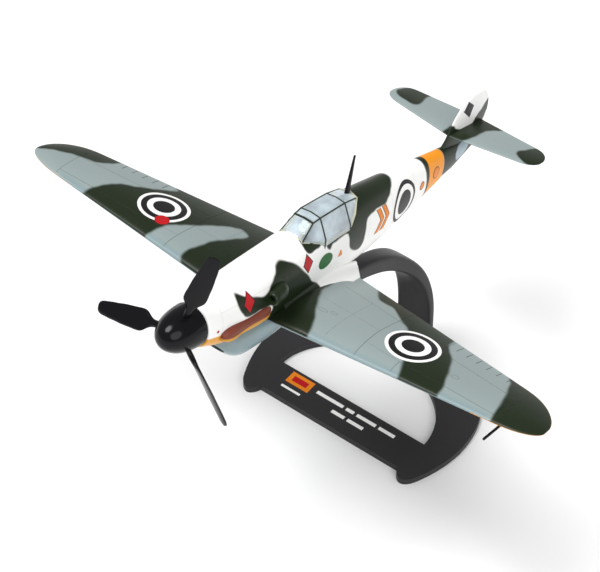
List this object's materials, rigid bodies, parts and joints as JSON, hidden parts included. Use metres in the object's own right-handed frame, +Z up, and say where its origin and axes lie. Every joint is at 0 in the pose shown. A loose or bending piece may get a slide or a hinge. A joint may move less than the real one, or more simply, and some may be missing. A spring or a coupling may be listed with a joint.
{
  "type": "propeller aircraft display model",
  "caption": "Scale model of a low-wing propeller fighter in winter camouflage, resting on a peg at the end of a curled arm on a flat half-ring base.",
  "frame": {"origin": "on the resting plane, under the middle of the stand's front bar", "axes": "+Z up, +X to the aircraft's port (left) side along the wing span, -Y towards the nose"},
  "size_m": [0.1378, 0.12, 0.1022],
  "materials": {
    "stand_grey": "satin",
    "fuselage_paint": "satin paint",
    "wing_paint": "satin paint",
    "underside_blue": "satin paint",
    "clear_plastic": "clear gloss",
    "black_plastic": "semi-gloss",
    "intake_green": "satin paint",
    "exhaust_brown": "matt paint",
    "cockpit_grey": "matt",
    "tyre_black": "matt",
    "steel": "plain",
    "brass": "plain"
  },
  "bodies": {
    "stand": {"stand_base": "stand_grey", "stand_arm": "stand_grey"},
    "aircraft": {"fuselage_left": "fuselage_paint", "fuselage_right": "fuselage_paint", "main_wing": "wing_paint", "tailplane_left": "wing_paint", "tailplane_right": "wing_paint", "oil_cooler_fairing": "underside_blue", "wing_radiator_left": "underside_blue", "wing_radiator_right": "underside_blue", "supercharger_intake": "intake_green", "exhaust_left": "exhaust_brown", "exhaust_right": "exhaust_brown", "canopy": "clear_plastic", "cockpit_tub": "cockpit_grey", "pilot_seat": "cockpit_grey", "instrument_panel": "cockpit_grey", "control_stick": "cockpit_grey", "antenna_mast": "black_plastic", "pitot_tube": "black_plastic", "tail_wheel": "tyre_black", "nose_bearing": "brass", "belly_socket": "cockpit_grey", "wing_screws": "steel"},
    "propeller": {"spinner": "black_plastic", "spinner_backplate": "black_plastic", "propeller_blades": "black_plastic", "prop_shaft": "steel", "retaining_collar": "steel"}
  },
  "joints": [
    {"name": "lift_off_peg", "type": "slide", "parent": "stand", "child": "aircraft", "axis": [0, 0.2756, 0.9613], "range_m": [0, 0.03]},
    {"name": "propeller_spin", "type": "hinge", "parent": "aircraft", "child": "propeller", "pos_m": [0, -0.05587, 0.082], "axis": [0, 0.9613, -0.2756], "continuous": true}
  ]
}
